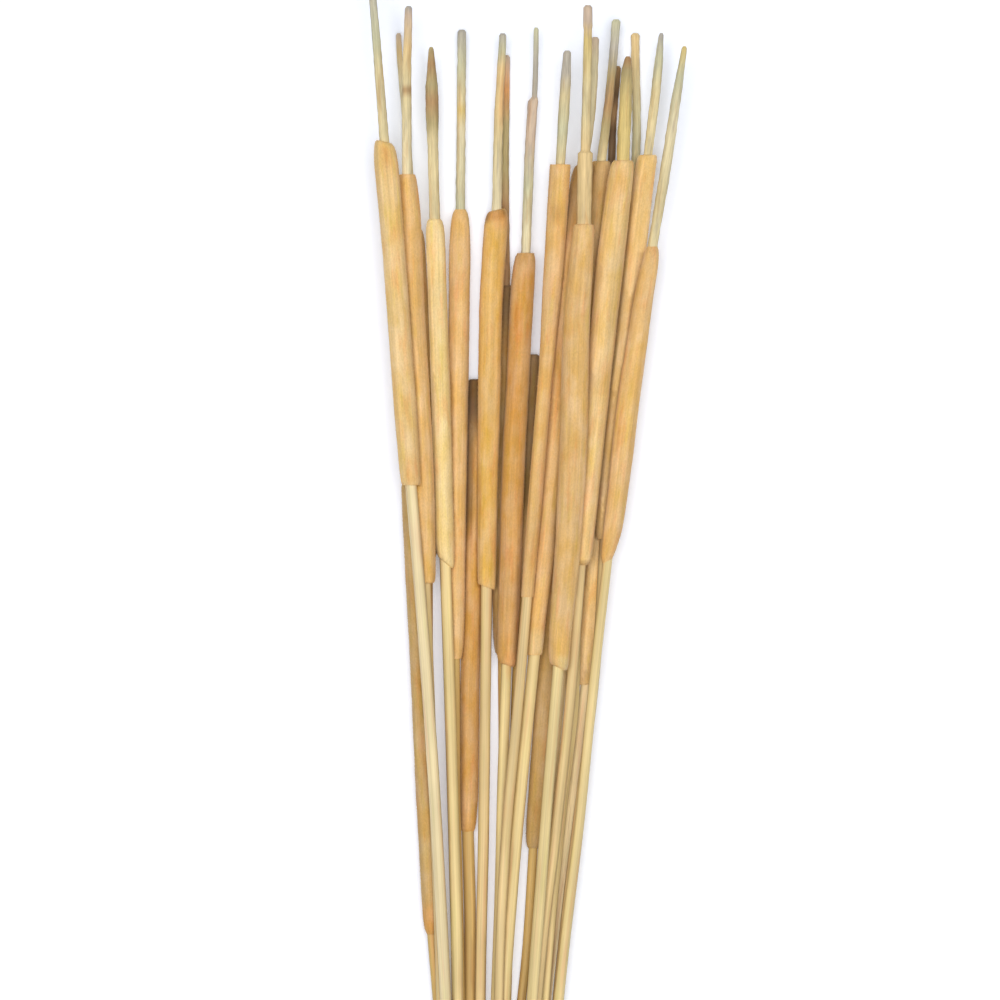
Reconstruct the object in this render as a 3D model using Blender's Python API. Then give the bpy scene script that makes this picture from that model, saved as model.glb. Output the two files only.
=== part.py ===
"""A loose bunch of dried cattails, lying on a flat surface.

Every cattail is a stem, a seed head and a thin dry tip, one after another along
one slightly bowed line. +Y runs from the cut ends to the tips, +X to the right,
and +Z up from the surface that the bunch lies on. The cattails are stiff: each
one is a straight bar when seen from the side, and rests on those laid before it.
"""

import math
import random
from collections import namedtuple

import bmesh
import bpy
from mathutils import Vector

# Driving dimensions. Lengths in this file are in millimetres until a mesh is made.
MM = 0.001
GAP = 0.3                # clear space between pieces that touch
STEM_SIDES = 8
STEM_RINGS = 8
HEAD_SIDES = 12
TIP_SIDES = 6
TIP_END = 0.55           # width of a tip's very end beside the tip just below it
TIP_END_LENGTH = 1.2
CUT_BEVEL = 0.4          # worn edge of a stem's cut end
UNEVENNESS = 0.03        # how much a ring's width strays from the plain shape
SETTLE_STEP = 4.0        # spacing of the places where two cattails are tested for touching

# Places of a head's rings: along each rounded end, and along the body between them
ROUNDING_SHARES = (0.0, 0.12, 0.45, 1.0)
BODY_SHARES = (0.25, 0.5, 0.75)

# Tip outlines: how far above the head, as a share of the tip, and how wide, as a share of its width
TIP_OUTLINES = {
    "tapered": ((0.0, 1.0), (0.5, 0.92), (1.0, 0.74)),
    "even": ((0.0, 1.0), (0.5, 0.94), (1.0, 0.94)),
    "blunt": ((0.0, 1.0), (0.7, 0.95), (0.9, 0.8), (1.0, 0.5)),
    "pointed": ((0.0, 0.9), (0.4, 1.0), (0.75, 0.9), (1.0, 0.5)),
    "stepped": ((0.0, 0.94), (0.68, 1.0), (0.7, 0.55), (1.0, 0.5)),
    "bulged": ((0.0, 0.84), (0.42, 0.84), (0.6, 1.0), (0.78, 1.0), (1.0, 0.4)),
    "spindle": ((0.0, 0.84), (0.45, 1.0), (0.75, 0.95), (1.0, 0.7)),
    "thick_footed": ((0.0, 1.0), (0.325, 1.0), (0.337, 0.67), (0.9, 0.57), (0.915, 0.64), (1.0, 0.62)),
}

# One cattail. The route is the middle line seen from above, from the cut end to the upper end.
# heel and neck are the head's lower and upper end along Y.
# stem gives the stem's width at its cut end and at the head.
# head gives the body's widths at even steps from the heel to the neck.
# heel_form and neck_form give the width of the head's end face and the length of its rounding.
# A cattail without a tip has the width 0 and no outline for it.
Cattail = namedtuple("Cattail", "number route heel neck stem head heel_form neck_form tip outline")

# The bunch in the order in which it is laid down, lowest first
BUNCH = (
    Cattail(2, ((-21.5, 6), (-27.5, 300), (-30.5, 350), (-35.8, 450), (-36, 520), (-39, 600), (-42, 670),
                (-43, 686), (-45.4, 712), (-47, 735), (-48.6, 748), (-49.8, 757), (-50.6, 767), (-50.9, 783.5)),
            520, 686, (4.6, 4.4), (9.5, 10, 9.5), (6, 10), (4.8, 8), 3.8, "tapered"),
    Cattail(11, ((0.5, 2), (3.2, 300), (5, 350), (6.4, 400), (7.8, 450), (9.9, 502), (13, 550),
                 (15, 600), (16, 622.5)),
            502, 622.5, (4.8, 4.4), (8.5, 9, 8.5), (5.2, 12), (5.5, 5), 0, None),
    Cattail(7, ((-10.5, 6), (-15.5, 300), (-15.2, 350), (-16.2, 383), (-15.6, 400), (-15.2, 455),
                (-13.7, 500), (-12.7, 540), (-12, 575), (-11.6, 610)),
            383, 610, (5.4, 5), (9, 9.5, 9.6, 10, 10), (5.6, 18), (7, 4), 0, None),
    Cattail(9, ((-5, 2), (-2.4, 300), (-0.4, 350), (1, 400), (1.9, 450), (1, 472), (0.3, 505),
                (0.3, 550), (1.5, 600), (2.8, 650), (3, 657), (2.8, 675), (2.6, 700), (2.6, 725),
                (3, 750), (3.1, 772.5)),
            472, 657, (4.6, 4.4), (8.5, 9, 8.5), (5.4, 12), (5.2, 6), 4, "even"),
    Cattail(14, ((6, 0), (10.7, 300), (13.2, 325), (15.5, 350), (16.5, 375), (18.2, 400), (22, 450),
                 (26.5, 500), (30, 550), (33, 590)),
            375, 590, (4.8, 4.5), (8.5, 9, 8.5), (5, 16), (4.5, 5), 0, None),
    Cattail(17, ((11.5, 2), (16.2, 300), (21, 350), (25.5, 400), (30.2, 450), (35.8, 500), (41, 550),
                 (45.8, 600), (51.3, 660), (55.5, 708), (56.3, 735), (58, 755), (58.8, 767)),
            506, 708, (4.8, 4.4), (8.5, 9.3, 9), (5.5, 10), (6.5, 5), 4, "even"),
    Cattail(19, ((17, 6), (23.5, 300), (29.5, 350), (36, 400), (42, 450), (46, 500), (54, 575),
                 (61, 650), (66.5, 692), (68.4, 740), (67.3, 770), (67.7, 783.5)),
            457, 692, (5, 4.5), (9.5, 10, 9.5), (6.5, 9), (7, 5), 4.6, "even"),
    Cattail(4, ((-27, 3), (-31.7, 300), (-34, 325), (-34.6, 350), (-36.5, 390), (-38, 430), (-40, 480),
                (-42.5, 520), (-44.5, 560)),
            332, 560, (4.8, 4.4), (9.8, 10.6, 11, 11, 10.5), (4.8, 26), (4.5, 6), 0, None),
    Cattail(16, ((17.5, 4), (22.5, 300), (29, 375), (34.5, 425), (37.5, 455), (38.5, 520), (42, 590),
                 (45, 650), (48.5, 690), (50.7, 720), (53, 742), (55, 755), (57, 770), (58, 790)),
            520, 719, (5, 4.6), (9, 10, 10), (6, 12), (8, 4), 4.7, "even"),
    Cattail(6, ((-16, 0), (-20, 300), (-21, 350), (-22.4, 420), (-22.5, 470), (-21.9, 520),
                (-21.5, 575), (-20.8, 625), (-20, 695), (-19.5, 745), (-19.2, 785)),
            470, 695, (5, 4.8), (8.8, 9.4, 9.9, 10.3, 10.6), (6, 22), (5.4, 22), 4.8, "even"),
    Cattail(20, ((23.5, 4), (28.5, 300), (40, 400), (46, 450), (51.8, 500), (52, 530), (55.5, 575),
                 (62, 625), (67.2, 670), (71, 705), (73.8, 722), (75.4, 730), (77.3, 750), (78.5, 760),
                 (79.8, 775), (80.6, 783)),
            530, 722, (5, 4.6), (9.5, 10, 10.5, 10.5, 10.3), (6.5, 10), (8, 5), 4.9, "pointed"),
    Cattail(5, ((-13.2, 3), (-21.5, 300), (-22, 350), (-24.2, 410), (-26, 480), (-27.4, 518),
                (-28.2, 532), (-29, 575), (-32, 670), (-32.7, 690), (-34.2, 755), (-34.5, 776)),
            518, 690, (6, 5.6), (10, 9.8, 9.4, 9.4, 9.5), (6.4, 8), (5.8, 9), 6.4, "bulged"),
    Cattail(8, ((-7, 2), (-10, 300), (-8.5, 375), (-7.5, 450), (-6.8, 505), (-6.3, 550), (-5.5, 600),
                (-4.5, 650), (-3.2, 675), (-2, 689), (-1.3, 725), (-0.3, 750), (0.9, 770), (1.3, 783)),
            506, 694.5, (4.8, 5.6), (9.2, 10.2, 11, 11.2, 11.8), (8, 4), (7.6, 8), 4.9, "tapered"),
    Cattail(10, ((-2.2, 5), (-2, 300), (-0.6, 340), (1, 400), (2.4, 450), (3.2, 467), (4.6, 500),
                 (5.8, 550), (8.4, 600), (10.8, 650), (12.2, 668), (12.8, 674), (13.5, 684), (14.2, 705),
                 (15.1, 715), (16.1, 725), (16.4, 749), (17.6, 752.5), (18, 786)),
            467, 673, (4.8, 5), (10.2, 11.6, 11.5, 11.4, 11.8), (7, 9), (8.3, 18), 5, "stepped"),
    Cattail(13, ((3.2, 6), (2.2, 300), (4, 330), (5.6, 350), (8.7, 390), (10.8, 410), (15, 450),
                 (17, 472), (19.2, 500), (25.6, 550), (32.2, 625), (38.6, 700), (42, 717), (44, 725),
                 (45.3, 740), (46.5, 755), (47.3, 775), (47.5, 781)),
            472, 717, (5.2, 5.8), (8.2, 9, 9.7, 10, 10), (6.8, 10), (7, 6), 4.3, "even"),
    Cattail(3, ((-24.2, 4), (-29.5, 300), (-35, 450), (-37, 508), (-39.2, 575), (-43.5, 650),
                (-44.7, 687), (-46.5, 712), (-46.7, 750), (-45.7, 796)),
            508, 712, (4.8, 4.5), (10, 11, 11.4, 11, 10.6), (7.5, 8), (8, 20), 5, "tapered"),
    Cattail(18, ((14.2, 0), (18.5, 300), (21.5, 330), (26.4, 370), (32.2, 425), (35, 450), (37.5, 480),
                 (40.2, 517), (42.9, 550), (48.2, 600), (53, 650), (58.8, 700), (61.3, 719), (62.6, 727),
                 (63, 740), (63, 760), (63.8, 771)),
            517, 719, (4.8, 5.4), (11, 12.2, 13, 13.6, 12.4), (6.8, 9), (9, 8), 6.6, "blunt"),
    Cattail(12, ((0.5, 1), (-0.6, 300), (0, 330), (1.4, 360), (4.5, 400), (9.2, 450), (13.5, 501),
                 (19.5, 575), (26, 655), (30, 717), (32.2, 750), (33.5, 774)),
            501, 717, (4.8, 5.4), (6, 6.9, 7, 9.3, 10), (5.8, 4), (9.6, 1.5), 5.5, "spindle"),
    Cattail(1, ((-18.8, 0), (-27.2, 300), (-34, 422), (-39.7, 500), (-44.5, 557), (-49.5, 625),
                (-53.2, 675), (-57.7, 728), (-60.2, 760), (-64.5, 812)),
            557, 728, (5.8, 5.8), (10.2, 11.4, 11.2, 11.5, 12), (8.5, 5), (7.5, 11), 4.8, "tapered"),
    Cattail(21, ((26.2, 0), (29.2, 300), (35.2, 350), (41, 400), (45.8, 450), (49.6, 480), (52.3, 503),
                 (53.6, 519), (57, 540), (61.2, 575), (64.2, 600), (67.8, 625), (71.5, 650), (76, 676),
                 (79, 700), (82.6, 715), (85.7, 740), (89.8, 759), (92, 776)),
            519, 676, (5.5, 4.6), (10.4, 11.3, 11.4, 10.7, 9.8), (4.9, 34), (5.2, 25), 5.4, "pointed"),
    Cattail(15, ((8.7, 3), (16, 300), (19.8, 350), (23.5, 400), (28, 450), (29, 466), (30.8, 500),
                 (33.2, 520), (35.7, 560), (37.3, 600), (38.5, 650), (41.4, 682), (42.3, 700),
                 (42.4, 722), (43.2, 740), (43.5, 760), (43.7, 796)),
            466, 687, (5.8, 5.4), (10.6, 12.8, 13.8, 13.6, 10.6), (7.4, 9), (8, 3.5), 7.5, "thick_footed"),
)

# Colours and surfaces
STRAW = (0.79, 0.65, 0.40)
TAN = (0.74, 0.50, 0.24)
PALE_TAN = (0.80, 0.60, 0.33)
GREY_STRAW = (0.66, 0.60, 0.40)
PALE_HEADS = (5, 6, 20, 21)
STEM_ROUGHNESS = 0.45
HEAD_ROUGHNESS = 0.95
TIP_ROUGHNESS = 0.7

SEED = 11

Ring = namedtuple("Ring", "y radius")


def middle_slope(before, here, after):
    """Slope dx/dy at a point of a route, from the parabola through it and its two neighbours."""
    length_before = here[1] - before[1]
    length_after = after[1] - here[1]
    slope_before = (here[0] - before[0]) / length_before
    slope_after = (after[0] - here[0]) / length_after
    weighted = slope_after * length_before + slope_before * length_after
    return weighted / (length_before + length_after)


def route_x(route, y):
    """Sideways place of a cattail's middle line at y, on a smooth curve through its route."""
    last = len(route) - 1
    span = 0
    while span < last - 1 and y > route[span + 1][1]:
        span += 1
    start, end = route[span], route[span + 1]
    length = end[1] - start[1]
    chord = (end[0] - start[0]) / length
    slope_start = middle_slope(route[span - 1], start, end) if span > 0 else chord
    slope_end = middle_slope(start, end, route[span + 2]) if span + 2 <= last else chord
    t = (y - start[1]) / length
    return (start[0] * (2 * t**3 - 3 * t**2 + 1)
            + end[0] * (3 * t**2 - 2 * t**3)
            + slope_start * length * (t**3 - 2 * t**2 + t)
            + slope_end * length * (t**3 - t**2))


def between(points, place):
    """Value at a place along a list of (place, value) points, joined by straight lines."""
    for (place_a, value_a), (place_b, value_b) in zip(points, points[1:]):
        if place <= place_b:
            share = (place - place_a) / (place_b - place_a)
            return value_a + (value_b - value_a) * share
    return points[-1][1]


def uneven(radius, chance):
    """A radius that strays a little from the plain shape, as a grown thing does."""
    return radius * (1 + chance.uniform(-UNEVENNESS, UNEVENNESS))


def stem_rings(cattail, chance):
    """Rings of a stem: a cut end with a worn edge, then an even taper up to the head."""
    foot = cattail.route[0][1]
    top = cattail.heel - GAP
    foot_radius = cattail.stem[0] / 2
    rings = [Ring(foot, foot_radius - CUT_BEVEL), Ring(foot + CUT_BEVEL, foot_radius)]
    for step in range(1, STEM_RINGS):
        share = step / STEM_RINGS
        width = cattail.stem[0] + (cattail.stem[1] - cattail.stem[0]) * share
        rings.append(Ring(foot + (top - foot) * share, uneven(width / 2, chance)))
    rings.append(Ring(top, cattail.stem[1] / 2))
    return rings


def rounded(end, full, share):
    """Radius in a rounded end, from its flat face (share 0) to the full body (share 1)."""
    return end + (full - end) * math.sqrt(1 - (1 - share) ** 2)


def head_rings(cattail, chance):
    """Rings of a head: a heel over the stem, a long body, and a shoulder under the tip."""
    heel_face, heel_length = cattail.heel_form
    neck_face, neck_length = cattail.neck_form
    body_low = cattail.heel + heel_length
    body_high = cattail.neck - neck_length
    steps = len(cattail.head) - 1
    body = [(step / steps, width / 2) for step, width in enumerate(cattail.head)]

    rings = [Ring(cattail.heel + heel_length * share, rounded(heel_face / 2, body[0][1], share))
             for share in ROUNDING_SHARES]
    for share in BODY_SHARES:
        rings.append(Ring(body_low + (body_high - body_low) * share, uneven(between(body, share), chance)))
    rings += [Ring(cattail.neck - neck_length * share, rounded(neck_face / 2, body[-1][1], share))
              for share in reversed(ROUNDING_SHARES)]
    return rings


def tip_rings(cattail, chance):
    """Rings of a tip: its outline, uneven as dry spikes are, and a small blunt end."""
    if not cattail.outline:
        return []
    outline = TIP_OUTLINES[cattail.outline]
    low = cattail.neck + GAP
    high = cattail.route[-1][1]
    length = high - TIP_END_LENGTH - low
    rings = []
    for share, width in outline:
        radius = cattail.tip * width / 2
        rings.append(Ring(low + length * share, radius if share == 0 else uneven(radius, chance)))
    rings.append(Ring(high, rings[-1].radius * TIP_END))
    return rings


def radius_along(rings):
    """(y, radius) points of a whole cattail, for finding where it touches another."""
    return [(ring.y, ring.radius) for ring in rings]


def balance_point(outline):
    """Place along Y where a cattail balances, with its weight spread as its volume is."""
    weight = 0.0
    moment = 0.0
    for (y_a, radius_a), (y_b, radius_b) in zip(outline, outline[1:]):
        piece = (y_b - y_a) * ((radius_a + radius_b) / 2) ** 2
        weight += piece
        moment += piece * (y_a + y_b) / 2
    return moment / weight


def resting_line(touches, balance):
    """Height and slope of a stiff bar on its two supports.

    Of all pairs of touching places, one on each side of the balance point, the
    bar comes to rest on the pair that holds its balance point highest.
    """
    below = [touch for touch in touches if touch[0] <= balance]
    above = [touch for touch in touches if touch[0] > balance]
    best = (-math.inf, 0.0)
    for y_below, z_below in below:
        for y_above, z_above in above:
            slope = (z_above - z_below) / (y_above - y_below)
            height = z_below + slope * (balance - y_below)
            best = max(best, (height, slope))
    return best


def lay_down(bunch, outlines):
    """Lay the cattails one after another, and give each one's height above the surface along Y."""
    laid = []
    for cattail, outline in zip(bunch, outlines):
        low, high = outline[0][0], outline[-1][0]
        count = int((high - low) / SETTLE_STEP)
        places = [low + (high - low) * index / count for index in range(count + 1)]
        touches = []
        for y in places:
            x = route_x(cattail.route, y)
            radius = between(outline, y)
            height = radius
            for other, other_outline, other_height in laid:
                if not other_outline[0][0] <= y <= other_outline[-1][0]:
                    continue
                reach = radius + between(other_outline, y) + GAP
                aside = abs(x - route_x(other.route, y))
                if aside < reach:
                    height = max(height, other_height(y) + math.sqrt(reach**2 - aside**2))
            touches.append((y, height))
        balance = balance_point(outline)
        rest, slope = resting_line(touches, balance)
        laid.append((cattail, outline, lambda y, r=rest, s=slope, b=balance: r + s * (y - b)))
    return [height for _, _, height in laid]


def make_material(name, colour, roughness):
    material = bpy.data.materials.new(name)
    material.use_nodes = True
    shader = material.node_tree.nodes["Principled BSDF"]
    shader.inputs["Base Color"].default_value = (*colour, 1.0)
    shader.inputs["Roughness"].default_value = roughness
    shader.inputs["Metallic"].default_value = 0.0
    material.diffuse_color = (*colour, 1.0)
    return material


def make_tube(name, rings, sides, cattail, height, material):
    """A closed tube through rings that stand square to Y, with a flat face at each end."""
    shape = bmesh.new()
    loops = []
    for ring in rings:
        x = route_x(cattail.route, ring.y)
        z = height(ring.y)
        loop = []
        for side in range(sides):
            angle = 2 * math.pi * side / sides
            place = (x + ring.radius * math.cos(angle), ring.y, z + ring.radius * math.sin(angle))
            loop.append(shape.verts.new(Vector(place) * MM))
        loops.append(loop)
    for lower, upper in zip(loops, loops[1:]):
        for side in range(sides):
            after = (side + 1) % sides
            shape.faces.new((lower[side], upper[side], upper[after], lower[after]))
    shape.faces.new(loops[0])
    shape.faces.new(reversed(loops[-1]))
    bmesh.ops.recalc_face_normals(shape, faces=shape.faces)

    mesh = bpy.data.meshes.new(name)
    shape.to_mesh(mesh)
    shape.free()
    mesh.materials.append(material)
    mesh.shade_smooth()
    mesh.set_sharp_from_angle(angle=math.radians(50))
    piece = bpy.data.objects.new(name, mesh)
    bpy.context.scene.collection.objects.link(piece)
    return piece


def rest_on_origin(pieces):
    """Move the bunch so that the middle of its underside is at the origin."""
    corners = [vertex.co for piece in pieces for vertex in piece.data.vertices]
    lowest = Vector(min(corner[axis] for corner in corners) for axis in range(3))
    highest = Vector(max(corner[axis] for corner in corners) for axis in range(3))
    middle = (lowest + highest) / 2
    shift = Vector((-middle.x, -middle.y, -lowest.z))
    for piece in pieces:
        for vertex in piece.data.vertices:
            vertex.co += shift
        piece.data.update()


def main():
    for old in list(bpy.data.objects):
        bpy.data.objects.remove(old, do_unlink=True)
    chance = random.Random(SEED)
    stem_finish = make_material("stem_straw", STRAW, STEM_ROUGHNESS)
    head_finish = make_material("head_tan", TAN, HEAD_ROUGHNESS)
    pale_head_finish = make_material("head_pale_tan", PALE_TAN, HEAD_ROUGHNESS)
    tip_finish = make_material("tip_grey_straw", GREY_STRAW, TIP_ROUGHNESS)

    parts = [(stem_rings(cattail, chance), head_rings(cattail, chance), tip_rings(cattail, chance))
             for cattail in BUNCH]
    outlines = [radius_along(stem + head + tip) for stem, head, tip in parts]
    heights = lay_down(BUNCH, outlines)

    pieces = []
    for cattail, (stem, head, tip), height in zip(BUNCH, parts, heights):
        number = f"{cattail.number:02d}"
        finish = pale_head_finish if cattail.number in PALE_HEADS else head_finish
        pieces.append(make_tube(f"stem_{number}", stem, STEM_SIDES, cattail, height, stem_finish))
        pieces.append(make_tube(f"head_{number}", head, HEAD_SIDES, cattail, height, finish))
        if tip:
            pieces.append(make_tube(f"tip_{number}", tip, TIP_SIDES, cattail, height, tip_finish))
    rest_on_origin(pieces)


main()
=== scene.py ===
# %% [markdown]
# # A bunch of dried cattails
#
# A cattail is a straight stem, a velvety seed head around its upper part, and a dry spike above
# it. The fixed frame holds one plain solid for each of these that shows. This script grows a finer,
# finished piece on every solid, lays the bunch on a pale floor and looks straight down on it.

# %% Load the frame
import math
import random

import bpy
import numpy as np
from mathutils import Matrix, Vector


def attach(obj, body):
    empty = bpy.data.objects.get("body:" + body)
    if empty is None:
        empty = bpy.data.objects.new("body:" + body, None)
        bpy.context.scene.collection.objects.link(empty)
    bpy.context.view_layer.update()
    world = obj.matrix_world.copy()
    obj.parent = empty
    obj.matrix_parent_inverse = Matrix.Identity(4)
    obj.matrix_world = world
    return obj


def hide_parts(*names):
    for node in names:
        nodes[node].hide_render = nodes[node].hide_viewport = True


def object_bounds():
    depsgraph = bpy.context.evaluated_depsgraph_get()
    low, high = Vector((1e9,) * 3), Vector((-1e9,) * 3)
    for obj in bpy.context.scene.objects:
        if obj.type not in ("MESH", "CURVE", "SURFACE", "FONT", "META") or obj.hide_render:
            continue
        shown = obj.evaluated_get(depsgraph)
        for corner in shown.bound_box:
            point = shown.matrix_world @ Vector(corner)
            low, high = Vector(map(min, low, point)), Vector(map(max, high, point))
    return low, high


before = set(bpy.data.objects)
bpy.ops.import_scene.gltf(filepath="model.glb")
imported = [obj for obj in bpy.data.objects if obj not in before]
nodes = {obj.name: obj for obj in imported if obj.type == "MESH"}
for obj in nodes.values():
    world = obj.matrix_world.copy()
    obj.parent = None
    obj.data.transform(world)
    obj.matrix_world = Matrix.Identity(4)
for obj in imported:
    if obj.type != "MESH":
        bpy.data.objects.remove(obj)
start_bounds = [list(corner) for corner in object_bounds()]
print(len(nodes), "solids, bounds", start_bounds)

# %% [markdown]
# ## Colours and marks
#
# Dried cattails share a few shades of tan and straw. They are named here, written as a screen shows
# them, 0 to 255, and turned into linear light before use, because a shader works in linear light.
# Every head and every stem takes one of the names. A tip changes colour along its length, so it
# takes several. Single marks, such as a scar, an orange end, or painted shade on a part lying deep
# in the bunch, are listed one by one.

# %% Palette, and who wears what
MM = 0.001

NAMED = {
    # heads
    "pale head": (246, 218, 156), "light head": (242, 206, 144), "tan head": (234, 192, 130),
    "gold head": (232, 188, 114), "brown head": (218, 170, 106), "dull head": (210, 174, 118),
    # stems
    "pale stem": (242, 222, 174), "straw stem": (236, 212, 152), "tan stem": (230, 202, 146),
    "brown stem": (220, 184, 114),
    # tips, cut ends and marks; dark and shade mostly serve as painted shade on parts deep in the
    # bunch
    "cream": (238, 224, 182), "straw": (230, 212, 162), "wheat": (238, 208, 150),
    "yellow": (232, 206, 132), "sage": (210, 206, 168), "grey": (194, 186, 170),
    "rose": (220, 196, 170), "olive": (188, 170, 120), "orange": (232, 168, 104),
    "rust": (200, 134, 72), "brown": (182, 144, 98), "dark": (116, 90, 62), "shade": (90, 68, 48),
}
# Which cattails, numbered from left to right at the top, wear each shade
HEADS = {
    "pale head": (5,), "light head": (1, 18, 19, 20), "tan head": (3, 6, 12, 13, 15, 21),
    "gold head": (8,), "brown head": (7, 10), "dull head": (2, 4, 9, 11, 14, 16, 17),
}
STEMS = {
    "pale stem": (1, 17, 19), "straw stem": (5, 10, 13, 15, 16, 21),
    "tan stem": (3, 8, 12, 18, 20), "brown stem": (2, 4, 6, 7, 9, 11, 14),
}

# Colour changes along a tip: the share of its length from its lower end, and the colour there
TIPS = {
    1: ((0, "straw"), (0.4, "straw"), (0.6, "sage"), (1, "grey")),
    2: ((0, "cream"), (0.75, "cream"), (0.9, "wheat"), (1, "rose")),
    3: ((0, "cream"), (0.45, "straw"), (0.5, "brown"), (0.54, "straw"), (0.75, "wheat"),
        (0.95, "rose"), (1, "grey")),
    5: ((0, "straw"), (0.45, "straw"), (0.55, "olive"), (0.68, "brown"), (0.78, "olive"),
        (0.9, "brown"), (1, "olive")),
    6: ((0, "sage"), (0.45, "cream"), (0.55, "yellow"), (0.6, "straw"), (0.8, "sage"), (1, "grey")),
    8: ((0, "cream"), (0.35, "straw"), (0.55, "wheat"), (0.8, "wheat"), (0.9, "sage"), (1, "grey")),
    9: ((0, "brown"), (0.35, "brown"), (0.5, "olive"), (0.7, "olive"), (0.85, "orange"),
        (1, "rose")),
    10: ((0, "cream"), (0.3, "sage"), (0.5, "rose"), (0.68, "rose"), (0.7, "grey"), (0.85, "grey"),
         (1, "sage")),
    12: ((0, "straw"), (0.3, "sage"), (0.6, "straw"), (0.8, "grey"), (1, "grey")),
    13: ((0, "cream"), (0.6, "cream"), (0.8, "cream"), (1, "rose")),
    15: ((0, "wheat"), (0.34, "wheat"), (0.5, "straw"), (0.62, "straw"), (0.84, "yellow"),
         (0.88, "wheat"), (0.93, "rose"), (1, "rose")),
    16: ((0, "straw"), (0.25, "olive"), (0.4, "brown"), (0.6, "olive"), (0.8, "grey"), (1, "sage")),
    # Tip 17 lies deep in the bunch: its dark stretches are painted shade
    17: ((0, "dark"), (0.45, "dark"), (0.6, "brown"), (0.75, "dark"), (1, "brown")),
    18: ((0, "yellow"), (0.5, "yellow"), (0.85, "olive"), (0.95, "brown"), (1, "brown")),
    19: ((0, "straw"), (0.4, "sage"), (0.7, "straw"), (0.9, "wheat"), (1, "wheat")),
    20: ((0, "straw"), (0.5, "straw"), (0.8, "sage"), (1, "grey")),
    21: ((0, "straw"), (0.3, "straw"), (0.6, "cream"), (0.85, "sage"), (1, "yellow")),
}

# Marks on a part: from and to, in millimetres above its lower end; middle and half width across,
# as shares of its radius; colour; strength
MARKS = {
    "head_01": ((157, 169, 0.1, 0.5, "orange", 0.25), (0, 14, 0.2, 0.6, "orange", 0.25)),
    "head_04": ((0, 14, -0.2, 0.9, "orange", 0.5),),
    # head_07: its top end and its left strip are painted shade, where it lies deep in the bunch
    "head_07": ((202, 240, 0.0, 3.0, "shade", 0.85), (150, 206, -0.9, 0.7, "dark", 0.7),
                (150, 214, 0.8, 0.5, "olive", 0.4)),
    "head_08": ((179, 186, 0.5, 0.7, "orange", 0.45), (183.5, 189, -0.1, 0.9, "rust", 0.6),
                (185, 188, 0.75, 0.18, "shade", 0.4), (183, 189, -0.9, 0.2, "dark", 0.5)),
    # head_09 is painted shade along its length, darkest at its top, where it lies deep in the bunch
    "head_09": ((90, 200, 0.0, 3.0, "dark", 0.3), (162, 200, 0.0, 3.0, "shade", 0.6)),
    "head_10": ((0, 7, 0.3, 0.5, "orange", 0.5), (120, 175, -0.2, 0.45, "orange", 0.4),
                (200, 207, 0.0, 1.2, "brown", 0.3)),
    # head_11 is painted shade along most of its length, where it lies deep in the bunch
    "head_11": ((40, 140, 0.0, 3.0, "shade", 0.65),),
    "head_12": ((187, 196, -0.1, 0.5, "brown", 0.35), (150, 162, -0.1, 0.3, "orange", 0.3)),
    # head_13: the dark strip on its left near its top is painted shade
    "head_13": ((0, 12, 0.0, 3.0, "straw", 0.45), (211, 250, -0.8, 0.7, "dark", 0.5)),
    "head_15": ((0, 6, 0.5, 0.5, "straw", 0.5),),
    "head_18": ((0, 2.2, 0.0, 1.3, "brown", 0.5), (182, 198, 0.1, 0.4, "orange", 0.3)),
    "head_19": ((225, 236, -0.4, 0.5, "brown", 0.4), (205, 222, 0.2, 0.4, "orange", 0.3)),
    "tip_08": ((45, 66, 0.6, 0.5, "orange", 0.45),),
    "tip_16": ((24, 44, 0.2, 0.8, "brown", 0.5),),
    "stem_10": ((455, 467, 0.5, 0.6, "orange", 0.4),),
}

# Slanted ends of heads: rise of the heel and of the neck, for each step across to the right
SLANTS = {1: (0, -0.25), 5: (-0.8, 0), 8: (-0.35, 0.2), 10: (-0.3, 0), 15: (-0.45, 0), 21: (0.5, 0)}
# Pieces a little fuller than their solids, so that no floor shows beside them
FULLER = {"head_12": 1.04, "head_13": 1.04, "stem_07": 1.2}
# The shade that each head and each stem wears, by number
head_shade = {number: name for name, group in HEADS.items() for number in group}
stem_shade = {number: name for name, group in STEMS.items() for number in group}
numbers = sorted(head_shade)
print(len(numbers), "cattails,", len(TIPS), "with a tip,", len(NAMED), "named colours")

# %% [markdown]
# ## Reading a solid's middle line
#
# Each solid is a tube through rings that stand square to Y. Its vertices with the same Y belong to
# one ring: the middle of their box is a point of the middle line, and the farthest one gives the
# radius there. A smooth curve through these few values gives as many finer rings as are wanted.


# %% Middle line and radius of a solid
# A step longer than this, in metres, is cut into three at least, so that the curve shows in it
SHORT_STEP = 0.0008
LEAST_PARTS = 3


def linear(colour):
    """A screen colour, 0 to 255, as linear light."""
    shown = np.asarray(colour, dtype=float) / 255
    return np.where(shown <= 0.04045, shown / 12.92, ((shown + 0.055) / 1.055) ** 2.4)


def soft_step(value):
    """0 below 0, 1 above 1, and a smooth climb between."""
    value = np.clip(value, 0, 1)
    return value * value * (3 - 2 * value)


def rings_of(node):
    """Arrays y, x, z and radius of a solid's rings, lowest first."""
    places = np.array([vertex.co for vertex in nodes[node].data.vertices])
    keys = np.round(places[:, 1], 5)
    rows = []
    for key in np.unique(keys):
        ring = places[keys == key]
        ring = np.unique(np.round(ring, 6), axis=0)
        middle = (ring.min(axis=0) + ring.max(axis=0)) / 2
        radius = np.hypot(ring[:, 0] - middle[0], ring[:, 2] - middle[2]).max()
        rows.append((middle[1], middle[0], middle[2], radius))
    return np.array(rows).T


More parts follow.
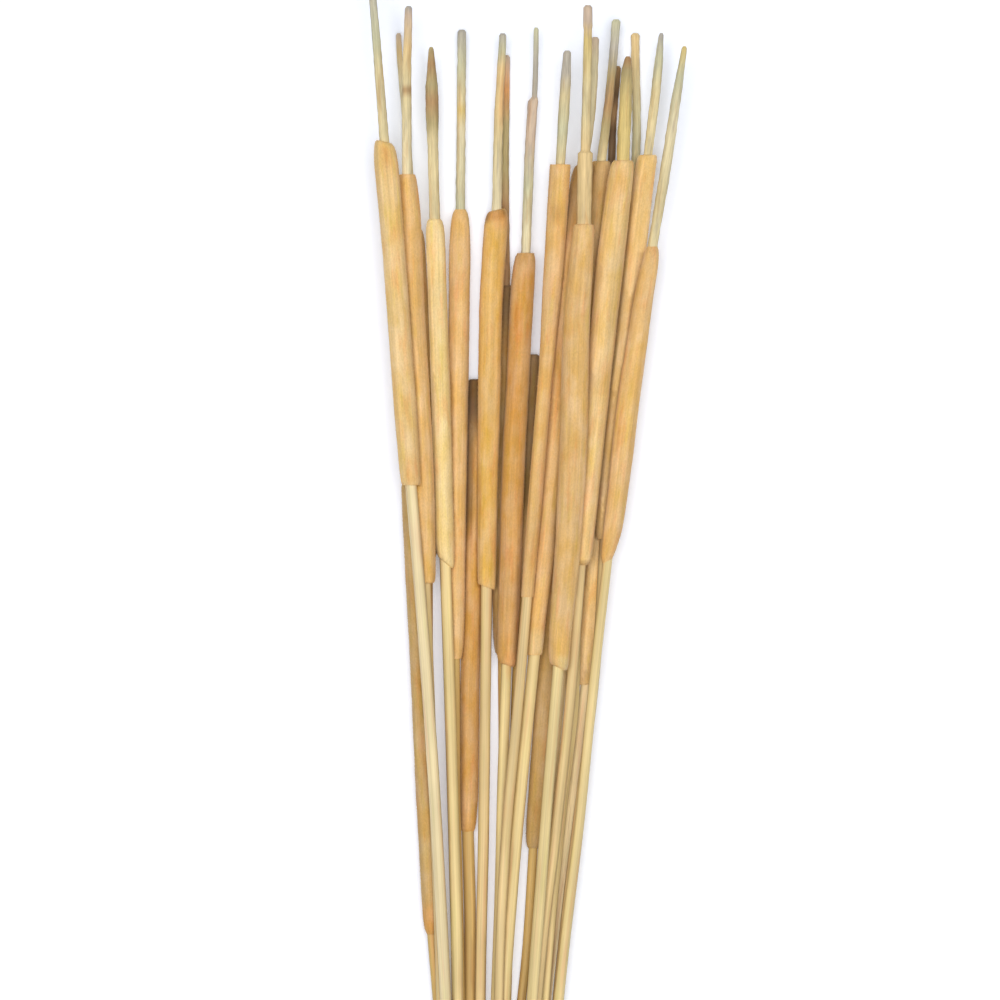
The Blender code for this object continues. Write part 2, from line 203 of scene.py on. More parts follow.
def smooth_curve(places, values, wanted):
    """Values at the wanted places on a smooth curve that never overshoots its points."""
    steps = np.diff(places)
    chords = np.diff(values) / steps
    slopes = np.zeros(len(places))
    slopes[0], slopes[-1] = chords[0], chords[-1]
    for index in range(1, len(places) - 1):
        before, after = chords[index - 1], chords[index]
        if before * after > 0:
            slopes[index] = 2 * before * after / (before + after)
    span = np.clip(np.searchsorted(places, wanted) - 1, 0, len(steps) - 1)
    t = (wanted - places[span]) / steps[span]
    return (values[span] * (2 * t**3 - 3 * t**2 + 1)
            + values[span + 1] * (3 * t**2 - 2 * t**3)
            + slopes[span] * steps[span] * (t**3 - 2 * t**2 + t)
            + slopes[span + 1] * steps[span] * (t**3 - t**2))


def finer(places, longest):
    """The places with more between them, so that no step is longer than asked for."""
    made = [places[0]]
    for start, end in zip(places, places[1:]):
        count = max(1, math.ceil((end - start) / longest))
        if end - start > SHORT_STEP:
            count = max(count, LEAST_PARTS)
        made.extend(start + (end - start) * step / count for step in range(1, count + 1))
    return np.array(made)


def run_on(y, values, end, reach):
    """The value at a reach beyond an end of a line, 0 or -1, when the line runs straight on."""
    inner = 1 if end == 0 else -2
    slope = (values[end] - values[inner]) / (y[end] - y[inner])
    return values[end] + slope * reach


lines = {name: rings_of(name) for name in nodes}
print("rings of stem_01, head_01 and tip_01:",
      [lines[name].shape[1] for name in ("stem_01", "head_01", "tip_01")])

# %% [markdown]
# ## Shade in the valleys
#
# Where two cattails touch, the valley between them gets little light. That shade is painted into
# the colour here. The cattails run nearly side by side, so this is a flat problem. In a cut across
# the bunch each cattail is a circle. From a point on one circle a few directions fan out around its
# normal, and the share of them that soon runs into another circle tells how closed in the point is.

# %% How closed in a place is
CUT_STEP = 2 * MM
REACH = 14 * MM
FAN = np.radians(np.linspace(-75, 75, 9))
FAN_WEIGHT = np.cos(FAN) / np.cos(FAN).sum()
# The share at which shade begins, how much more makes it full, and what full shade takes from
# red, green and blue
SHADE_FROM = 0.35
SHADE_RANGE = 0.5
FULL_SHADE = np.array((0.34, 0.40, 0.44))


def cuts_of(number):
    """A cattail's middle and radius at every cut across the bunch; no radius where it isn't."""
    parts = [lines[f"{part}_{number:02d}"] for part in ("stem", "head", "tip")
             if f"{part}_{number:02d}" in lines]
    y, x, z, radius = np.concatenate(parts, axis=1)
    radius = np.interp(cut_places, y, radius, left=0, right=0)
    return np.interp(cut_places, y, x), np.interp(cut_places, y, z), radius


cut_places = np.arange(start_bounds[0][1], start_bounds[1][1], CUT_STEP)
cuts = np.array([cuts_of(number) for number in numbers])


def closed_in(number, y, x, z, radius, angles):
    """Share of the fan that is blocked, for each ring and side of a tube."""
    row = np.clip(np.round((y - cut_places[0]) / CUT_STEP).astype(int), 0, len(cut_places) - 1)
    others = [index for index, other in enumerate(numbers) if other != number]
    centre_x, centre_z, other_radius = (cuts[others, axis][:, row].T[:, None, None, :]
                                        for axis in range(3))
    place_x = (x[:, None] + radius * np.cos(angles))[:, :, None, None]
    place_z = (z[:, None] + radius * np.sin(angles))[:, :, None, None]
    aim = (angles[:, None] + FAN[None, :])[None, :, :, None]
    to_x, to_z = centre_x - place_x, centre_z - place_z
    ahead = to_x * np.cos(aim) + to_z * np.sin(aim)
    aside = to_x * np.sin(aim) - to_z * np.cos(aim)
    hit = (ahead > 0) & (ahead < REACH) & (np.abs(aside) < other_radius)
    return (hit.any(axis=3) * FAN_WEIGHT).sum(axis=2)


def paint_valley_shade(tint, closed):
    """Paint shade into the tint where it is closed in, more in blue than in red."""
    depth = soft_step((closed[..., None] - SHADE_FROM) / SHADE_RANGE)
    return tint * (1 - depth * FULL_SHADE)


print("cattails, rows and cuts:", cuts.shape)

# %% [markdown]
# ## A tube with its own colours
#
# All three parts of a cattail are tubes. The tube keeps two attributes on its points. `tint` is the
# colour there, painted shade in the valleys included. `straight` is where the point would be if the
# cattail were straight: textures read it instead of the real place, so their streaks follow the
# bent stem, and no seam shows.


# %% The tube maker
# Metres between two cattails' places in the textures, so that no two wear the same pattern
PATTERN_STEP = 0.4
SHARP_EDGE = math.radians(50)


def around(sides):
    """The angles of a ring's points, from +X towards +Z."""
    return 2 * math.pi * np.arange(sides) / sides


def tube(name, y, x, z, radius, sides, tint, number):
    """A closed mesh through rings. radius is given for each ring and side, and so may y be."""
    angles = around(sides)
    count = len(y)
    across = radius * np.cos(angles)[None, :]
    upward = radius * np.sin(angles)[None, :]
    along = y if y.ndim == 2 else np.repeat(y[:, None], sides, axis=1)
    places = np.stack([x[:, None] + across, along, z[:, None] + upward], axis=-1).reshape(-1, 3)
    straight = np.stack([across + PATTERN_STEP * number, along, upward], axis=-1).reshape(-1, 3)
    faces = []
    for ring in range(count - 1):
        for side in range(sides):
            after = (side + 1) % sides
            low, high = ring * sides, (ring + 1) * sides
            faces.append((low + side, high + side, high + after, low + after))
    faces.append(tuple(range(sides)))
    faces.append(tuple((count - 1) * sides + side for side in reversed(range(sides))))
    mesh = bpy.data.meshes.new(name)
    mesh.from_pydata([tuple(place) for place in places], [], faces)
    mesh.shade_smooth()
    mesh.set_sharp_from_angle(angle=SHARP_EDGE)
    colours = mesh.attributes.new("tint", "FLOAT_COLOR", "POINT")
    shades = np.ones((len(places), 4))
    shades[:, :3] = tint.reshape(-1, 3)
    colours.data.foreach_set("color", shades.ravel())
    unbent = mesh.attributes.new("straight", "FLOAT_VECTOR", "POINT")
    unbent.data.foreach_set("vector", straight.ravel())
    piece = bpy.data.objects.new(name, mesh)
    bpy.context.scene.collection.objects.link(piece)
    return piece


print("a ring of four sides:", np.degrees(around(4)))

# %% [markdown]
# ## What varies along a part
#
# Nothing that grew is even. A few soft waves of random length, added together, let a width or a
# colour stray slowly along Y. A tip's colour runs through named stops, and a mark is blended over
# the colour with soft edges.

# %% Waves, stops and marks
# A mark fades in over this share of its length, but over this many millimetres at most, and
# sideways over this share of the part's radius
MARK_SHARE = 0.6
LONGEST_FADE = 24.0
SIDE_FADE = 0.5


def waves(chance, count, shortest, longest):
    """Random soft waves along Y, as (amplitude, wave number, phase)."""
    made = []
    for _ in range(count):
        length = shortest * (longest / shortest) ** chance.random()
        made.append((chance.uniform(0.5, 1) / count, 2 * math.pi / length,
                     chance.uniform(0, 2 * math.pi)))
    return made


def sway(wave_list, y):
    """Sum of the waves at y, between -1 and 1."""
    return sum(amplitude * np.sin(wave_number * y + phase)
               for amplitude, wave_number, phase in wave_list)


def along_stops(stops, share):
    """Colour at each share of a length, between named stops."""
    places = [stop for stop, _ in stops]
    shades = np.array([linear(NAMED[name]) for _, name in stops])
    return np.stack([np.interp(share, places, shades[:, axis]) for axis in range(3)], axis=-1)


def paint(tint, part, rise, across):
    """Blend a part's marks into its tint. rise is in millimetres above the part's lower end."""
    for start, end, middle, half, name, strength in MARKS.get(part, ()):
        soft = min(LONGEST_FADE, MARK_SHARE * (end - start))
        lengthwise = soft_step((rise - start) / soft + 0.5) * soft_step((end - rise) / soft + 0.5)
        sideways = soft_step((half - np.abs(across - middle)) / SIDE_FADE + 0.5)
        weight = strength * lengthwise[:, None] * sideways[None, :]
        tint += weight[..., None] * (linear(NAMED[name]) - tint)


print("tip 03 at its foot, middle and end:",
      along_stops(TIPS[3], np.array([0, 0.5, 1])).round(2).tolist())

# %% [markdown]
# ## Surfaces
#
# The stem is smooth and a little glossy, with fine lengthwise lines. The head is packed down: it
# has hardly any gloss, a soft sheen from the side, fine mottling and faint lengthwise streaks. The
# tip is dry and rough, with short brown dashes. All of it comes from noise textures on the
# `straight` attribute, stretched along Y for streaks, that shift the `tint` colour.


# %% Material helpers
# A noise value nearly always lies between these two
USUAL = (0.3, 0.7)
# Sockets of a Mix node for its two colours and its result, which share their names with others
MIX_FIRST, MIX_SECOND, MIX_RESULT = 6, 7, 2


def new_material(name, roughness):
    """A material, its node tree and its shader."""
    material = bpy.data.materials.new(name)
    material.use_nodes = True
    shader = material.node_tree.nodes["Principled BSDF"]
    shader.inputs["Roughness"].default_value = roughness
    return material, material.node_tree, shader


def add_noise(tree, vector, scales, detail, roughness=0.55):
    """A noise texture whose grain is 1 / scale metres along each axis."""
    mapping = tree.nodes.new("ShaderNodeMapping")
    mapping.inputs["Scale"].default_value = scales
    noise = tree.nodes.new("ShaderNodeTexNoise")
    noise.inputs["Scale"].default_value = 1.0
    noise.inputs["Detail"].default_value = detail
    noise.inputs["Roughness"].default_value = roughness
    tree.links.new(vector, mapping.inputs["Vector"])
    tree.links.new(mapping.outputs["Vector"], noise.inputs["Vector"])
    return noise.outputs["Fac"]


def remap(tree, value, low, high, to_low, to_high):
    """The value moved from one range to another."""
    node = tree.nodes.new("ShaderNodeMapRange")
    for socket, bound in (("From Min", low), ("From Max", high),
                          ("To Min", to_low), ("To Max", to_high)):
        node.inputs[socket].default_value = bound
    tree.links.new(value, node.inputs["Value"])
    return node.outputs["Result"]


def product(tree, values):
    """All the values multiplied."""
    result = values[0]
    for value in values[1:]:
        node = tree.nodes.new("ShaderNodeMath")
        node.operation = "MULTIPLY"
        tree.links.new(result, node.inputs[0])
        tree.links.new(value, node.inputs[1])
        result = node.outputs[0]
    return result


def shaded(tree, colour, value, saturation=None):
    """The colour made lighter or darker, and more or less strong."""
    node = tree.nodes.new("ShaderNodeHueSaturation")
    tree.links.new(colour, node.inputs["Color"])
    tree.links.new(value, node.inputs["Value"])
    if saturation is not None:
        tree.links.new(saturation, node.inputs["Saturation"])
    return node.outputs["Color"]


def tinged(tree, factor, colour, other):
    """The colour multiplied by another one, as far as the factor says."""
    node = tree.nodes.new("ShaderNodeMix")
    node.data_type = "RGBA"
    node.blend_type = "MULTIPLY"
    tree.links.new(factor, node.inputs[0])
    tree.links.new(colour, node.inputs[MIX_FIRST])
    node.inputs[MIX_SECOND].default_value = (*other, 1)
    return node.outputs[MIX_RESULT]


def add_bump(tree, shader, heights, distance):
    """Small relief from one height value."""
    node = tree.nodes.new("ShaderNodeBump")
    node.inputs["Strength"].default_value = 1.0
    node.inputs["Distance"].default_value = distance
    tree.links.new(heights, node.inputs["Height"])
    tree.links.new(node.outputs["Normal"], shader.inputs["Normal"])


def inputs_of(tree):
    """The tint colour and the straightened place, as sockets."""
    tint = tree.nodes.new("ShaderNodeAttribute")
    tint.attribute_name = "tint"
    place = tree.nodes.new("ShaderNodeAttribute")
    place.attribute_name = "straight"
    return tint.outputs["Color"], place.outputs["Vector"]


print("noise is read between", USUAL)

# %% [markdown]
# ## The three finishes
#
# Each finish multiplies a few noises into one lightness, then tinges the colour in patches: stems
# turn green or pink here and there, heads warm or golden, tips brown or grey. The scales say how
# many grains fit in a metre, so 1500 across and 9 along makes lines a tenth of a metre long and
# less than a millimetre wide.


# %% Materials
def stem_material():
    """Dry straw: fine lines, broader bands and slow patches."""
    material, tree, shader = new_material("dry_stem", 0.6)
    tint, place = inputs_of(tree)
    shader.inputs["Specular IOR Level"].default_value = 0.3
    fine_lines = add_noise(tree, place, (1500, 9, 1500), 3)
    bands = add_noise(tree, place, (430, 8, 430), 2)
    patches = add_noise(tree, place, (90, 26, 90), 3)
    value = product(tree, [remap(tree, fine_lines, *USUAL, 0.88, 1.07),
                           remap(tree, bands, *USUAL, 0.84, 1.09),
                           remap(tree, patches, *USUAL, 0.93, 1.06)])
    colour = shaded(tree, tint, value)
    green = remap(tree, add_noise(tree, place, (330, 22, 330), 2), 0.52, 0.7, 0.0, 0.8)
    colour = tinged(tree, green, colour, (0.93, 0.98, 0.88))
    pink = remap(tree, add_noise(tree, place, (370, 18, 370), 2), 0.3, 0.45, 0.8, 0.0)
    colour = tinged(tree, pink, colour, (0.98, 0.83, 0.84))
    tree.links.new(colour, shader.inputs["Base Color"])
    add_bump(tree, shader, fine_lines, 0.00012)
    return material


def head_material():
    """Packed down: speckled, streaked, threaded and patchy, with a soft sheen."""
    material, tree, shader = new_material("packed_down", 0.95)
    shader.inputs["Specular IOR Level"].default_value = 0.15
    shader.inputs["Sheen Weight"].default_value = 0.25
    shader.inputs["Sheen Roughness"].default_value = 0.45
    shader.inputs["Sheen Tint"].default_value = (1.0, 0.86, 0.66, 1.0)
    tint, place = inputs_of(tree)
    speckle = add_noise(tree, place, (1700, 900, 1700), 2, 0.7)
    streaks = add_noise(tree, place, (380, 12, 380), 3)
    threads = add_noise(tree, place, (1100, 26, 1100), 2)
    patches = add_noise(tree, place, (130, 60, 130), 4)
    value = product(tree, [remap(tree, speckle, *USUAL, 0.9, 1.07),
                           remap(tree, streaks, *USUAL, 0.87, 1.09),
                           remap(tree, threads, *USUAL, 0.92, 1.06),
                           remap(tree, patches, *USUAL, 0.94, 1.05)])
    rich = remap(tree, patches, 0.35, 0.65, 1.1, 0.92)
    colour = shaded(tree, tint, value, rich)
    warm = remap(tree, add_noise(tree, place, (260, 46, 260), 3), 0.54, 0.72, 0.0, 0.9)
    colour = tinged(tree, warm, colour, (1.0, 0.84, 0.78))
    gold = remap(tree, add_noise(tree, place, (300, 40, 300), 3), 0.28, 0.46, 0.9, 0.0)
    colour = tinged(tree, gold, colour, (0.96, 0.98, 0.72))
    tree.links.new(colour, shader.inputs["Base Color"])
    add_bump(tree, shader, speckle, 0.0003)
    return material


def tip_material():
    """A dry rough axis: fibres and short dashes."""
    material, tree, shader = new_material("dry_tip", 0.7)
    tint, place = inputs_of(tree)
    fibres = add_noise(tree, place, (1700, 40, 1700), 3)
    dashes = add_noise(tree, place, (420, 60, 420), 4, 0.65)
    value = product(tree, [remap(tree, fibres, *USUAL, 0.82, 1.09),
                           remap(tree, dashes, *USUAL, 0.8, 1.1)])
    colour = shaded(tree, tint, value)
    brown = remap(tree, add_noise(tree, place, (380, 36, 380), 3), 0.55, 0.74, 0.0, 0.9)
    colour = tinged(tree, brown, colour, (0.84, 0.7, 0.58))
    grey = remap(tree, add_noise(tree, place, (360, 30, 360), 3), 0.28, 0.46, 0.9, 0.0)
    colour = tinged(tree, grey, colour, (0.72, 0.74, 0.86))
    tree.links.new(colour, shader.inputs["Base Color"])
    add_bump(tree, shader, fibres, 0.0003)
    return material


stem_finish = stem_material()
head_finish = head_material()
tip_finish = tip_material()
print("materials:", [material.name for material in (stem_finish, head_finish, tip_finish)])

# %% [markdown]
# ## Stems
#
# A stem is a long tube that thins a little towards the head. Its section isn't quite a circle and
# its width strays slowly, as in anything that grew. It runs a few millimetres up into the head.

# %% Build the stems
STEM_SIDES = 16
STEM_STEP = 6 * MM
INTO_HEAD = 5 * MM
# The cut edge is rounded off over this length, to this share of the radius
CUT_EDGE = 0.1 * MM
CUT_SHARE = 0.8


def grow_stem(number):
    """One stem, from its cut end up into the head."""
    chance = random.Random(100 + number)
    node = f"stem_{number:02d}"
    y, x, z, radius = lines[node]
    fine = np.concatenate([[y[0], y[0] + CUT_EDGE, y[1]],
                           np.arange(y[1] + 2 * MM, y[-1], STEM_STEP), [y[-1]]])
    width = smooth_curve(y, radius, fine)
    width[0], width[1] = radius[0] * CUT_SHARE, radius[0]
    middle_x = smooth_curve(y, x, fine)
    middle_z = smooth_curve(y, z, fine)
    middle_x = np.append(middle_x, run_on(fine, middle_x, -1, INTO_HEAD))
    middle_z = np.append(middle_z, run_on(fine, middle_z, -1, INTO_HEAD))
    fine = np.append(fine, fine[-1] + INTO_HEAD)
    width = np.append(width, width[-1])
    angles = around(STEM_SIDES)
    turn = chance.uniform(0, math.pi)
    section = 1 + 0.03 * np.cos(2 * (angles - turn)) + 0.012 * np.cos(5 * angles + turn)
    slow = 1 + 0.02 * sway(waves(chance, 4, 30 * MM, 160 * MM), fine)
    full = width[:, None] * slow[:, None] * section[None, :] * FULLER.get(node, 1)
    tint = np.tile(linear(NAMED[stem_shade[number]]), (len(fine), STEM_SIDES, 1))
    tint *= (1 + 0.05 * sway(waves(chance, 4, 40 * MM, 200 * MM), fine))[:, None, None]
    tint[0] = linear(NAMED["cream"])
    paint(tint, node, (fine - y[0]) / MM, np.cos(angles))
    # Painted shade in the valleys between cattails
    tint = paint_valley_shade(tint, closed_in(number, fine, middle_x, middle_z, full, angles))
    piece = tube(f"stem.{number:02d}", fine, middle_x, middle_z, full, STEM_SIDES, tint, number)
    piece.data.materials.append(stem_finish)
    return piece


for number in numbers:
    stem = grow_stem(number)
    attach(stem, "root")
    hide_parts(f"stem_{number:02d}")
print("stems:", len(numbers), "last one has", len(stem.data.polygons), "faces")

# %% [markdown]
# ## Heads and their nap
#
# A head is thousands of seeds, each with a tuft of down, packed so tight that only the ends of the
# tufts show, as a nap like velvet. The body is a finer tube with small swellings. Geometry Nodes
# then scatter short fibres over it: points on the faces, a three-sided sliver on each point, turned
# along the face's normal and leant towards the tip. At the end they become plain mesh.

# %% Geometry Nodes for the nap
NAP_DENSITY = 1.15e6
NAP_LENGTH = 0.55 * MM
NAP_WIDTH = 0.06 * MM
NAP_LEAN = 0.8


def socket_id(group, name):
    """The identifier by which a modifier knows one input of a node group."""
    for item in group.interface.items_tree:
        if item.item_type == "SOCKET" and item.in_out == "INPUT" and item.name == name:
            return item.identifier
    raise KeyError(name)


def nap_tree():
    """A node group that adds fibres to the mesh that it is given."""
    group = bpy.data.node_groups.new("nap", "GeometryNodeTree")
    interface = group.interface
    interface.new_socket("Geometry", in_out="INPUT", socket_type="NodeSocketGeometry")
    for name, default in (("Density", NAP_DENSITY), ("Length", NAP_LENGTH),
                          ("Width", NAP_WIDTH), ("Lean", NAP_LEAN)):
        socket = interface.new_socket(name, in_out="INPUT", socket_type="NodeSocketFloat")
        socket.default_value = default
    seed = interface.new_socket("Seed", in_out="INPUT", socket_type="NodeSocketInt")
    seed.default_value = 1
    interface.new_socket("Geometry", in_out="OUTPUT", socket_type="NodeSocketGeometry")

    add, link = group.nodes.new, group.links.new
    start = add("NodeGroupInput")
    end = add("NodeGroupOutput")

    scatter = add("GeometryNodeDistributePointsOnFaces")
    link(start.outputs["Geometry"], scatter.inputs["Mesh"])
    link(start.outputs["Density"], scatter.inputs["Density"])
    link(start.outputs["Seed"], scatter.inputs["Seed"])

    sliver = add("GeometryNodeMeshCone")
    sliver.fill_type = "NONE"
    sliver.inputs["Vertices"].default_value = 3
    sliver.inputs["Radius Top"].default_value = 0.0
    link(start.outputs["Width"], sliver.inputs["Radius Bottom"])
    link(start.outputs["Length"], sliver.inputs["Depth"])

    # A random vector, mostly towards +Y, is added to the normal: inputs 0 and 1 are its limits
    lean = add("FunctionNodeRandomValue")
    lean.data_type = "FLOAT_VECTOR"
    link(start.outputs["Seed"], lean.inputs["Seed"])
    lean.inputs[0].default_value = (-0.45, 0.1, -0.45)
    lean.inputs[1].default_value = (0.45, 0.9, 0.45)
    leant = add("ShaderNodeVectorMath")
    leant.operation = "SCALE"
    link(lean.outputs[0], leant.inputs[0])
    link(start.outputs["Lean"], leant.inputs["Scale"])
    aim = add("ShaderNodeVectorMath")
    aim.operation = "ADD"
    link(scatter.outputs["Normal"], aim.inputs[0])
    link(leant.outputs[0], aim.inputs[1])
    turn = add("FunctionNodeAlignRotationToVector")
    turn.axis = "Z"
    link(aim.outputs[0], turn.inputs["Vector"])

    # A random size for each fibre: inputs 2 and 3 are the limits of a plain number
    size = add("FunctionNodeRandomValue")
    size.data_type = "FLOAT"
    size.inputs[2].default_value = 0.5
    size.inputs[3].default_value = 1.2
    link(start.outputs["Seed"], size.inputs["Seed"])

    place = add("GeometryNodeInstanceOnPoints")
    link(scatter.outputs["Points"], place.inputs["Points"])
    link(sliver.outputs["Mesh"], place.inputs["Instance"])
    link(turn.outputs["Rotation"], place.inputs["Rotation"])
    link(size.outputs[1], place.inputs["Scale"])

    real = add("GeometryNodeRealizeInstances")
    link(place.outputs["Instances"], real.inputs["Geometry"])
    join = add("GeometryNodeJoinGeometry")
    link(real.outputs["Geometry"], join.inputs["Geometry"])
    link(start.outputs["Geometry"], join.inputs["Geometry"])
    finish = add("GeometryNodeSetMaterial")
    finish.inputs["Material"].default_value = head_finish
    link(join.outputs["Geometry"], finish.inputs["Geometry"])
    link(finish.outputs["Geometry"], end.inputs["Geometry"])
    return group


nap = nap_tree()
print("nap:", len(nap.nodes), "nodes,", NAP_DENSITY, "fibres a square metre")

# %% [markdown]
# ## A head
#
# The body follows its solid. Seven random ripples, each with its own number of lobes around the
# head, swell it by about a hundredth. Where the photographed head ends at a slant, its last rings
# are tilted. Then the nap grows on it, and the result replaces the body's mesh.

# %% Build the heads
HEAD_SIDES = 32
HEAD_STEP = 1.5 * MM
RIPPLES = 7
RIPPLE_SIZE = 0.009
LOBES = (0, 1, 2, 3, 5)
SLANT_FADE = 16 * MM


def grow_nap(piece, seed):
    """Put fibres on a body, as plain mesh, and take the modifier off again."""
    modifier = piece.modifiers.new("nap", "NODES")
    modifier.node_group = nap
    for name, value in (("Density", NAP_DENSITY), ("Length", NAP_LENGTH), ("Width", NAP_WIDTH),
                        ("Lean", NAP_LEAN), ("Seed", seed)):
        modifier[socket_id(nap, name)] = value
    bpy.context.view_layer.update()
    depsgraph = bpy.context.evaluated_depsgraph_get()
    grown = bpy.data.meshes.new_from_object(piece.evaluated_get(depsgraph),
                                            preserve_all_data_layers=True, depsgraph=depsgraph)
    piece.modifiers.clear()
    piece.data = grown


def grow_head(number):
    """One seed head with its nap."""
    chance = random.Random(200 + number)
    node = f"head_{number:02d}"
    y, x, z, radius = lines[node]
    low, high = y[0], y[-1]
    fine = finer(y, HEAD_STEP)
    width = smooth_curve(y, radius, fine)
    middle_x = smooth_curve(y, x, fine)
    middle_z = smooth_curve(y, z, fine)
    angles = around(HEAD_SIDES)
    full = np.repeat(width[:, None], HEAD_SIDES, axis=1) * FULLER.get(node, 1)
    for _ in range(RIPPLES):
        wave = waves(chance, 3, 10 * MM, 50 * MM)
        lobes = chance.choice(LOBES)
        phase = chance.uniform(0, 2 * math.pi)
        ripple = sway(wave, fine)[:, None] * np.cos(lobes * angles + phase)[None, :]
        full = full * (1 + RIPPLE_SIZE * ripple)
    tint = np.tile(linear(NAMED[head_shade[number]]), (len(fine), HEAD_SIDES, 1))
    tint *= (1 + 0.05 * sway(waves(chance, 4, 25 * MM, 120 * MM), fine))[:, None, None]
    paint(tint, node, (fine - low) / MM, np.cos(angles))
    # Painted shade in the valleys between cattails
    tint = paint_valley_shade(tint, closed_in(number, fine, middle_x, middle_z, full, angles))
    heel_slant, neck_slant = SLANTS.get(number, (0, 0))
    fade_heel = soft_step(1 - (fine - low) / SLANT_FADE)
    fade_neck = soft_step(1 - (high - fine) / SLANT_FADE)
    slant = heel_slant * fade_heel + neck_slant * fade_neck
    along = fine[:, None] + slant[:, None] * full * np.cos(angles)[None, :]
    piece = tube(f"head.{number:02d}", along, middle_x, middle_z, full, HEAD_SIDES, tint, number)
    piece.data.materials.append(head_finish)
    grow_nap(piece, 300 + number)
    return piece


for number in numbers:
    head = grow_head(number)
    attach(head, "root")
    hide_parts(f"head_{number:02d}")
print("heads:", len(numbers), "last one has", len(head.data.polygons), "faces",
      [attribute.name for attribute in head.data.attributes])

# %% [markdown]
# ## Tips
#
# The spike above the head carried the pollen flowers. They fell long ago, and what stays is a thin,
# ribbed, rough axis that breaks off at its end. Each one changes colour along its length. It starts
# a few millimetres down inside the head.

# %% Build the tips
TIP_SIDES = 14
TIP_STEP = 1.2 * MM
INTO_NECK = 4 * MM
RIBS = (2, 3, 5, 7)
RIB_SIZE = 0.05
KNOT_SIZE = 0.03


def grow_tip(number):
    """One dry spike, from inside the head's neck to its broken end."""
    chance = random.Random(400 + number)
    node = f"tip_{number:02d}"
    y, x, z, radius = lines[node]
    low, high = y[0], y[-1]
    fine = finer(y, TIP_STEP)
    width = np.interp(fine, y, radius)
    middle_x = smooth_curve(y, x, fine)
    middle_z = smooth_curve(y, z, fine)
    middle_x = np.insert(middle_x, 0, run_on(fine, middle_x, 0, -INTO_NECK))
    middle_z = np.insert(middle_z, 0, run_on(fine, middle_z, 0, -INTO_NECK))
    fine = np.insert(fine, 0, fine[0] - INTO_NECK)
    width = np.insert(width, 0, width[0])
    angles = around(TIP_SIDES)
    full = np.repeat(width[:, None], TIP_SIDES, axis=1)
    for ribs in RIBS:
        wave = waves(chance, 3, 5 * MM, 40 * MM)
        phase = chance.uniform(0, 2 * math.pi)
        rib = sway(wave, fine)[:, None] * np.cos(ribs * angles + phase)[None, :]
        full = full * (1 + RIB_SIZE * rib)
    full = full * (1 + KNOT_SIZE * sway(waves(chance, 4, 6 * MM, 30 * MM), fine))[:, None]
    colour = along_stops(TIPS[number], np.clip((fine - low) / (high - low), 0, 1))
    tint = np.repeat(colour[:, None, :], TIP_SIDES, axis=1)
    paint(tint, node, (fine - low) / MM, np.cos(angles))
    # Painted shade in the valleys between cattails
    tint = paint_valley_shade(tint, closed_in(number, fine, middle_x, middle_z, full, angles))
    piece = tube(f"tip.{number:02d}", fine, middle_x, middle_z, full, TIP_SIDES, tint, number)
    piece.data.materials.append(tip_finish)
    return piece


for number in TIPS:
    tip = grow_tip(number)
    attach(tip, "root")
    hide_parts(f"tip_{number:02d}")
print("tips:", len(TIPS), "last one has", len(tip.data.polygons), "faces")

# %% [markdown]
# ## Floor and light
#
# The floor is plain and nearly white. It gives off a little light of its own, so that it is pale
# in the gaps between the stems too. One wide lamp hangs just above the camera, so light reaches
# into those gaps, and every round piece is bright along its middle and darker at both edges.

# %% Floor and lamp
# The point of the floor under the camera, and the spread of the view there, in metres
MIDDLE = (-0.0136, 0.1435)
SPAN = 0.5
FLOOR_HALF = 3.0
FLOOR_DROP = 0.0005
LAMP_PLACE = (-0.1, 0.3, 6.6)
LAMP_WIDTH = 4.4
LAMP_POWER = 440
WORLD_LIGHT = 0.12


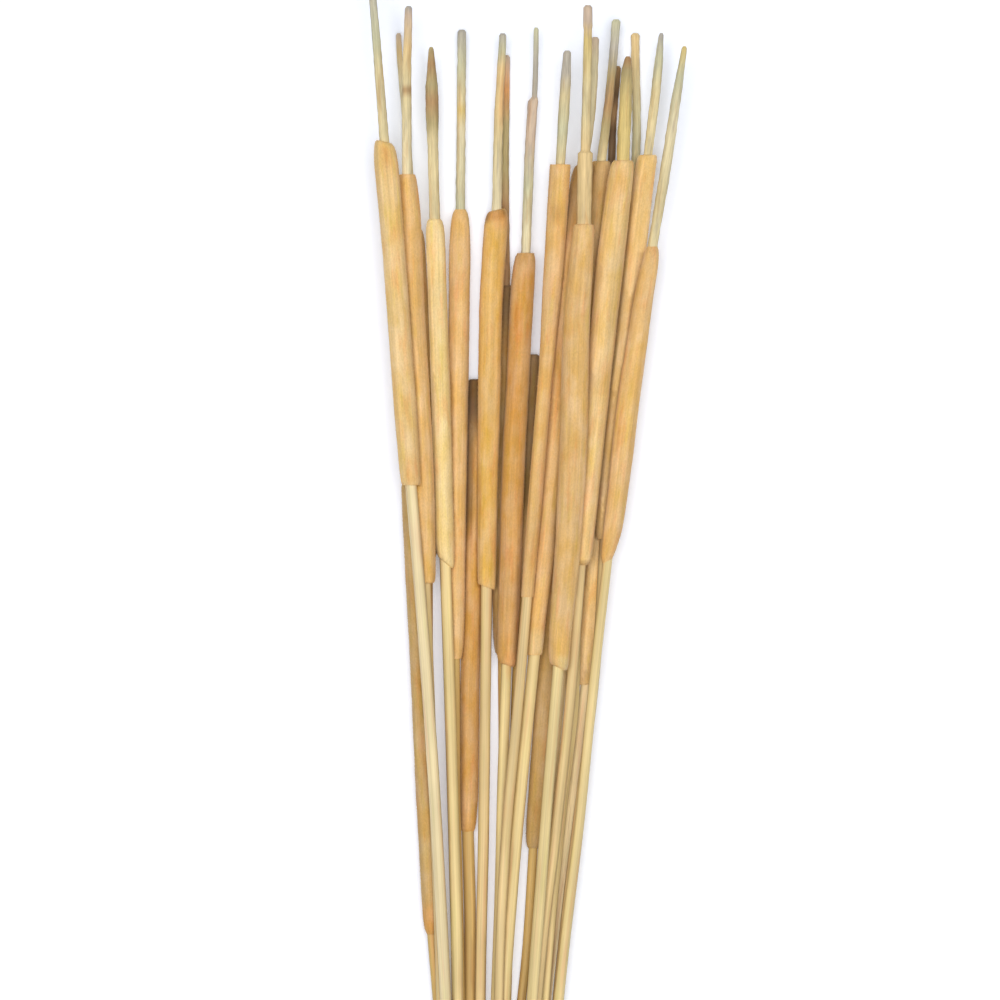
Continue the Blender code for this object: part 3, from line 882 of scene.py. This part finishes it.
def make_floor():
    """A pale square just under the lowest fibres."""
    mesh = bpy.data.meshes.new("floor")
    corners = [(-FLOOR_HALF, -FLOOR_HALF, 0), (FLOOR_HALF, -FLOOR_HALF, 0),
               (FLOOR_HALF, FLOOR_HALF, 0), (-FLOOR_HALF, FLOOR_HALF, 0)]
    mesh.from_pydata(corners, [], [(0, 1, 2, 3)])
    floor = bpy.data.objects.new("floor", mesh)
    bpy.context.scene.collection.objects.link(floor)
    material = bpy.data.materials.new("floor")
    material.use_nodes = True
    shader = material.node_tree.nodes["Principled BSDF"]
    shader.inputs["Base Color"].default_value = (0.86, 0.90, 1.0, 1)
    shader.inputs["Roughness"].default_value = 0.9
    shader.inputs["Emission Color"].default_value = (0.9, 0.94, 1.0, 1)
    shader.inputs["Emission Strength"].default_value = 0.2
    mesh.materials.append(material)
    floor.location.z = -FLOOR_DROP
    return floor


def make_light(name, place, aim, size, power):
    """A round lamp at a place, turned towards its aim."""
    light = bpy.data.lights.new(name, "AREA")
    light.shape = "DISK"
    light.size = size
    light.energy = power
    lamp = bpy.data.objects.new(name, light)
    bpy.context.scene.collection.objects.link(lamp)
    lamp.location = place
    lamp.rotation_euler = (Vector(aim) - Vector(place)).to_track_quat("-Z", "Y").to_euler()
    return lamp


scene = bpy.context.scene
for old in [item for item in scene.objects if item.type in ("CAMERA", "LIGHT")]:
    bpy.data.objects.remove(old, do_unlink=True)
floor = make_floor()
lamp = make_light("top", LAMP_PLACE, (*MIDDLE, 0), LAMP_WIDTH, LAMP_POWER)
world = bpy.data.worlds.new("studio")
world.use_nodes = True
world.node_tree.nodes["Background"].inputs["Color"].default_value = (1, 1, 1, 1)
world.node_tree.nodes["Background"].inputs["Strength"].default_value = WORLD_LIGHT
scene.world = world
scene.view_settings.view_transform = "Standard"
print("floor", floor.location.z, "lamp", tuple(lamp.location), lamp.data.energy)

# %% [markdown]
# ## Camera
#
# The camera looks straight down through a long lens, which keeps the stems from leaning apart as a
# near camera would show them. The view spans half a metre at the middle height of the heads.

# %% Camera
CAMERA_HEIGHT = 6.0
MIDDLE_OF_HEADS = 0.02
SENSOR = 36

camera_data = bpy.data.cameras.new("camera")
camera_data.sensor_fit = "HORIZONTAL"
camera_data.sensor_width = SENSOR
camera_data.lens = SENSOR * (CAMERA_HEIGHT - MIDDLE_OF_HEADS) / SPAN
camera = bpy.data.objects.new("camera", camera_data)
scene.collection.objects.link(camera)
camera.location = (*MIDDLE, CAMERA_HEIGHT)
camera.rotation_euler = (0, 0, 0)
scene.camera = camera
print("camera", tuple(camera.location), "lens", camera_data.lens)
